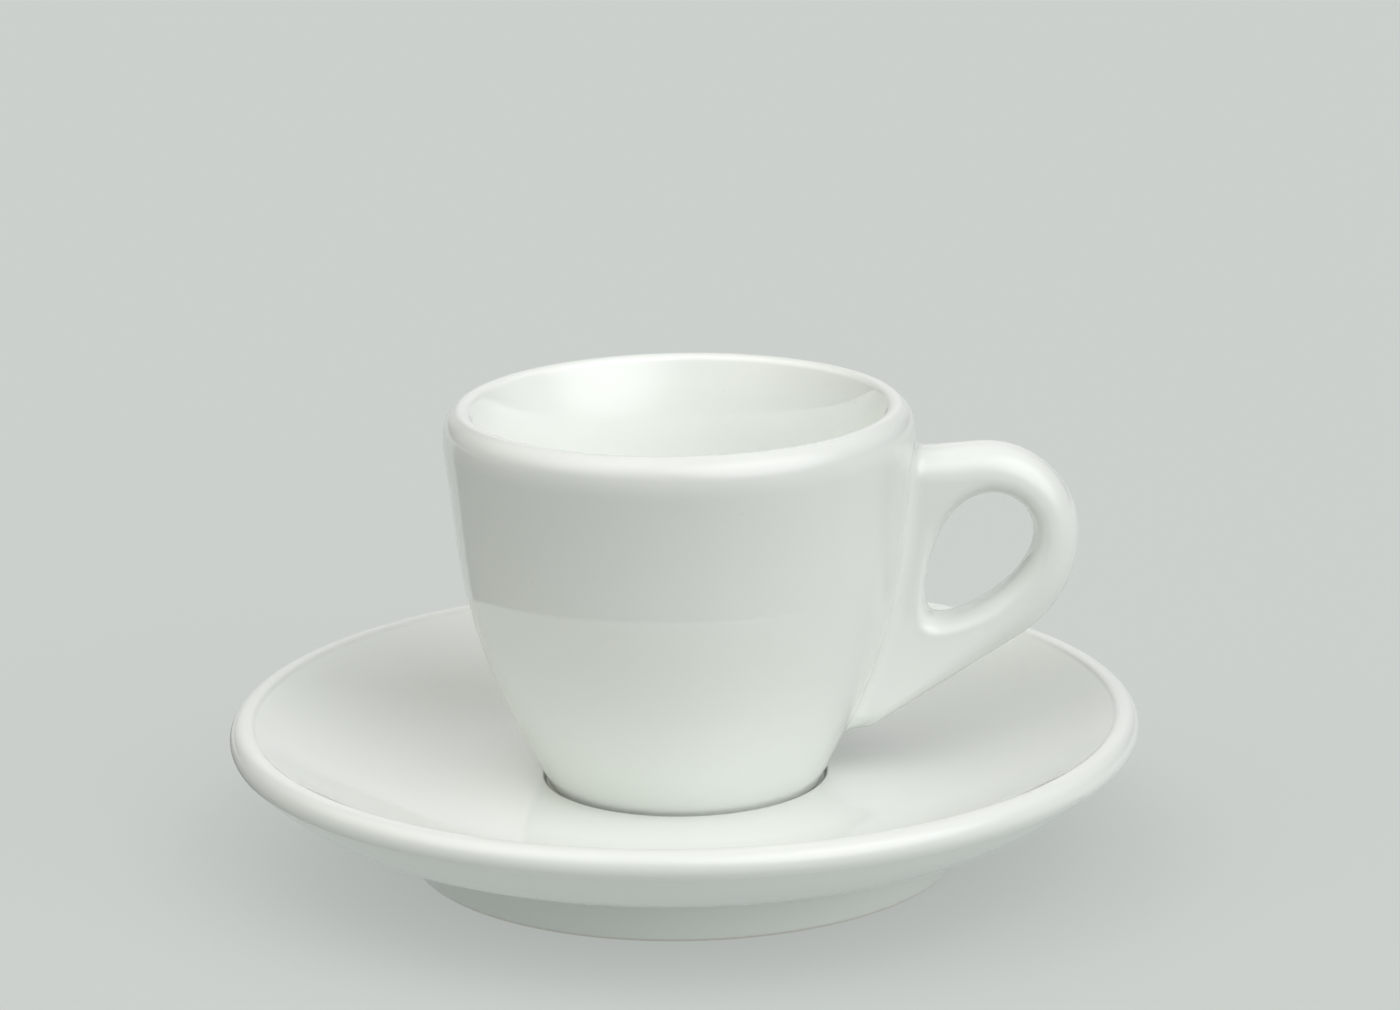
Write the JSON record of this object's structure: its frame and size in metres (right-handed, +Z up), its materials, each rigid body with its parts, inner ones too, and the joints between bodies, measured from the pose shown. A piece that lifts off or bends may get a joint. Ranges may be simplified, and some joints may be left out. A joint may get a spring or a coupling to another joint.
{
  "type": "espresso cup and saucer",
  "caption": "Thick-walled espresso cup with a pierced ear handle, standing in the shallow well of its round saucer and lifting straight off it.",
  "frame": {"origin": "on the table, under the middle of the saucer's foot ring", "axes": "+Z up along the axis of the cup and the saucer, +X towards the cup's handle"},
  "size_m": [0.125, 0.125, 0.0636],
  "materials": {
    "saucer_glaze": "white gloss glaze",
    "cup_glaze": "white gloss glaze"
  },
  "bodies": {
    "saucer": {"saucer": "saucer_glaze"},
    "cup": {"cup_body": "cup_glaze", "cup_handle": "cup_glaze"}
  },
  "joints": [
    {"name": "cup_lift", "type": "slide", "parent": "saucer", "child": "cup", "axis": [0, 0, 1], "range_m": [0, 0.12]}
  ]
}
